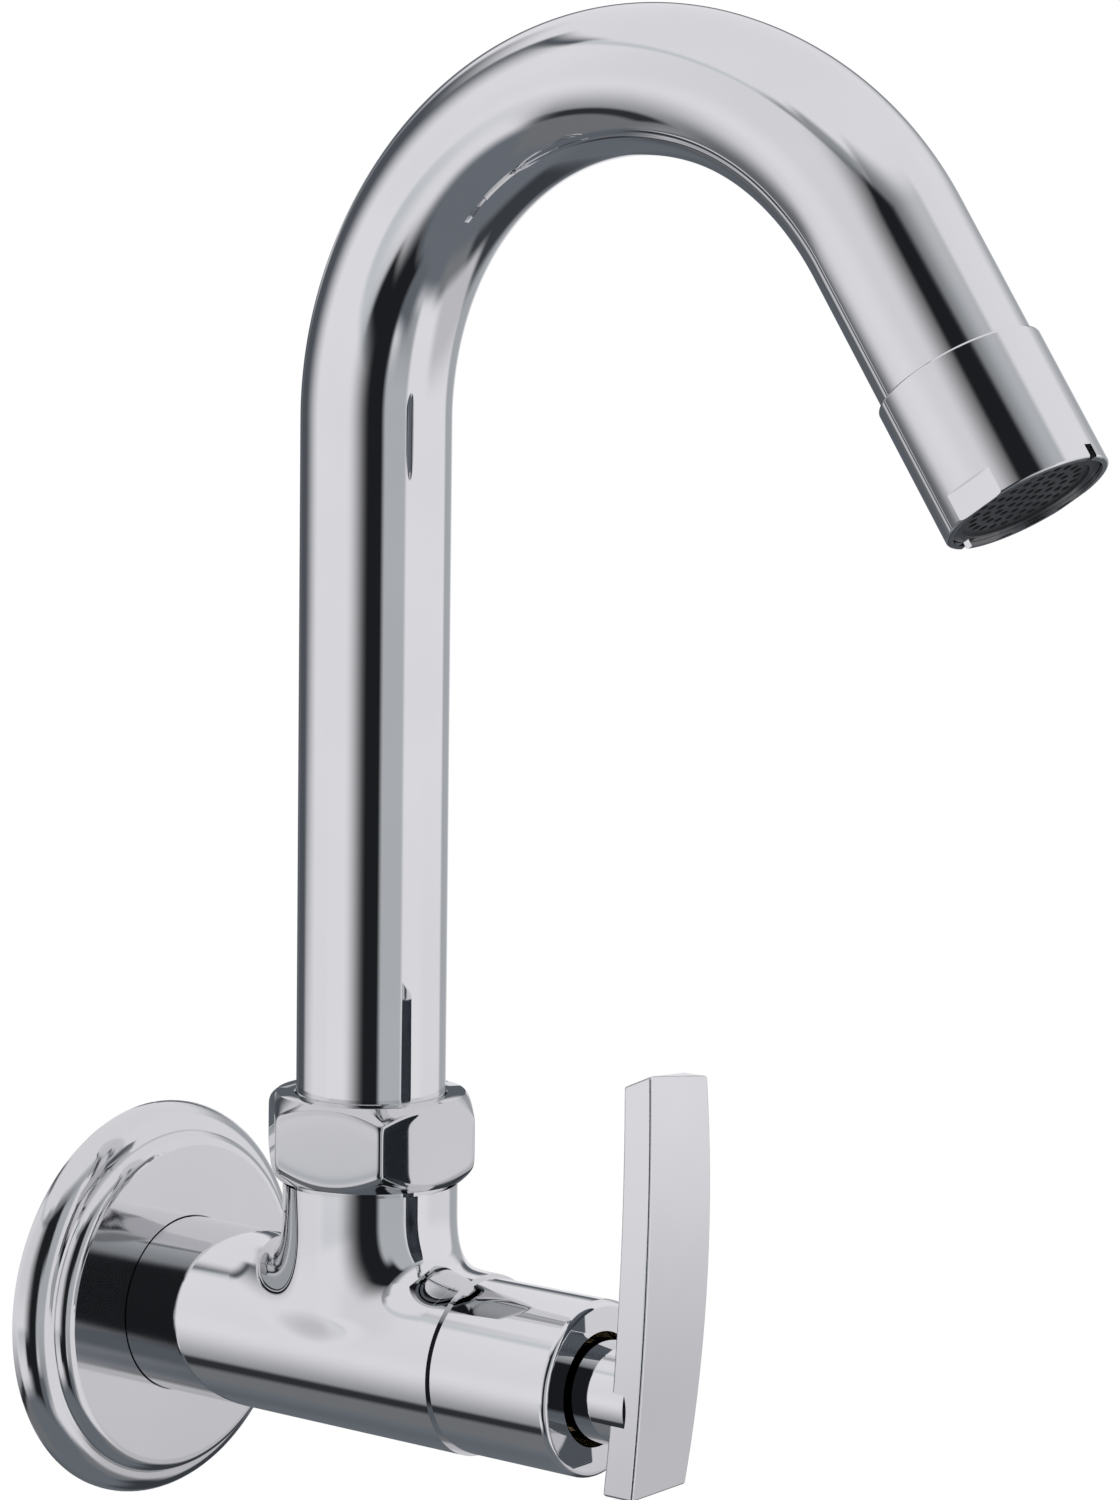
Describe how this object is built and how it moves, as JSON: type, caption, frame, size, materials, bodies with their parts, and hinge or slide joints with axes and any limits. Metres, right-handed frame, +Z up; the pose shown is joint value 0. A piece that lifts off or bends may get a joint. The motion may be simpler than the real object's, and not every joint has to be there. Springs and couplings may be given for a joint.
{
  "type": "wall-mounted sink tap",
  "caption": "Chromed wall-mounted sink tap with a round wall flange, a quarter-turn blade lever and a swivel swan-neck spout with an aerator.",
  "frame": {"origin": "where the axis of the inlet thread meets the wall, in the plane of the flange's foot", "axes": "+Z up along the spout's swivel axis direction, +Y into the wall along the inlet thread, +X to the right seen from the front"},
  "size_m": [0.0604, 0.1775, 0.2257],
  "materials": {
    "chrome": "polished plating",
    "brass": "turned",
    "steel": "bright stainless",
    "rubber": "moulded",
    "fibre": "pressed fibre",
    "ceramic": "lapped ceramic",
    "slip_plastic": "waxy",
    "dark_plastic": "moulded"
  },
  "bodies": {
    "body": {"valve_body": "chrome", "wall_flange": "chrome", "headwork_bush": "brass", "headwork_gasket": "fibre", "fixed_disc": "ceramic", "seat_seal": "rubber", "cover_sleeve": "chrome", "spout_nut": "chrome"},
    "handle": {"lever": "chrome", "lever_grub_screw": "steel", "spindle": "brass", "spindle_o_rings": "rubber", "spindle_circlip": "steel", "thrust_washer": "slip_plastic", "moving_disc": "ceramic"},
    "spout": {"spout_tube": "chrome", "spout_ferrule": "brass", "spout_o_rings": "rubber", "spout_thrust_ring": "slip_plastic", "spout_slip_ring": "slip_plastic", "aerator_housing": "chrome", "aerator_gasket": "rubber", "aerator_cartridge": "dark_plastic", "aerator_grid": "dark_plastic", "aerator_screens": "steel", "aerator_spacer": "dark_plastic", "aerator_diffuser": "dark_plastic"}
  },
  "joints": [
    {"name": "spout_swivel", "type": "hinge", "parent": "body", "child": "spout", "pos_m": [0, -0.044, 0.0327], "axis": [0, 0, 1], "range_deg": [-105, 105]},
    {"name": "handle_turn", "type": "hinge", "parent": "body", "child": "handle", "pos_m": [0, -0.0658, 0], "axis": [0, -1, 0], "range_deg": [0, 90]}
  ]
}
